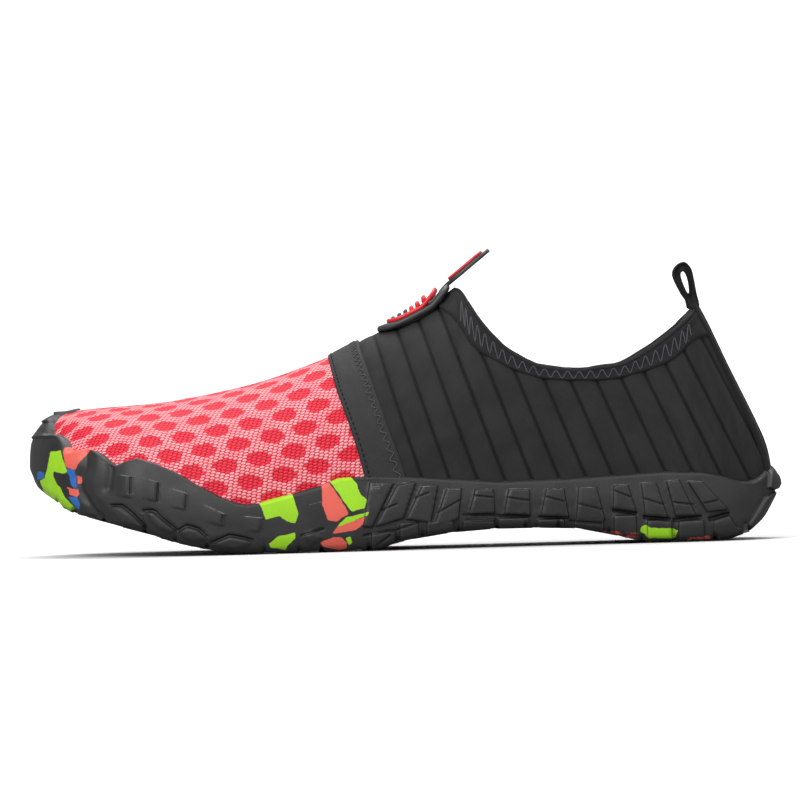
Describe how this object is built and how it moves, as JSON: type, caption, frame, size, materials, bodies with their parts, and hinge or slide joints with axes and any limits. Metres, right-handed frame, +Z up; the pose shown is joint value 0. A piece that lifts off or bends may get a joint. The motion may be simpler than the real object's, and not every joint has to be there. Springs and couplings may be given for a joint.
{
  "type": "training shoe",
  "caption": "Low slip-on training shoe for the left foot, with a mesh vamp, ribbed stretch quarter, instep plate with pull tab, heel loop and a lugged rubber sole over the toe.",
  "frame": {"origin": "on the floor, at the middle of the bounding box", "axes": "+X from the toe to the heel, +Y to the inner side of the left foot, +Z up"},
  "size_m": [0.2746, 0.1014, 0.1091],
  "materials": {
    "sole_rubber": "matt black rubber with lime, coral and blue patches",
    "upper_fabric": "red spacer mesh at the front, ribbed black stretch cloth behind",
    "insole_foam": "dark foam with a cloth face",
    "black_fabric": "matt black cloth",
    "black_moulding": "satin black moulding",
    "red_moulding": "satin red moulding"
  },
  "bodies": {
    "root": {"outsole": "sole_rubber", "upper": "upper_fabric", "insole": "insole_foam", "vamp_band": "black_fabric", "collar_binding": "black_fabric", "heel_tape": "black_fabric", "heel_loop": "black_fabric", "badge_base": "black_moulding", "badge_frame": "red_moulding", "pull_tab": "black_moulding", "tab_inlay": "red_moulding"}
  },
  "joints": []
}
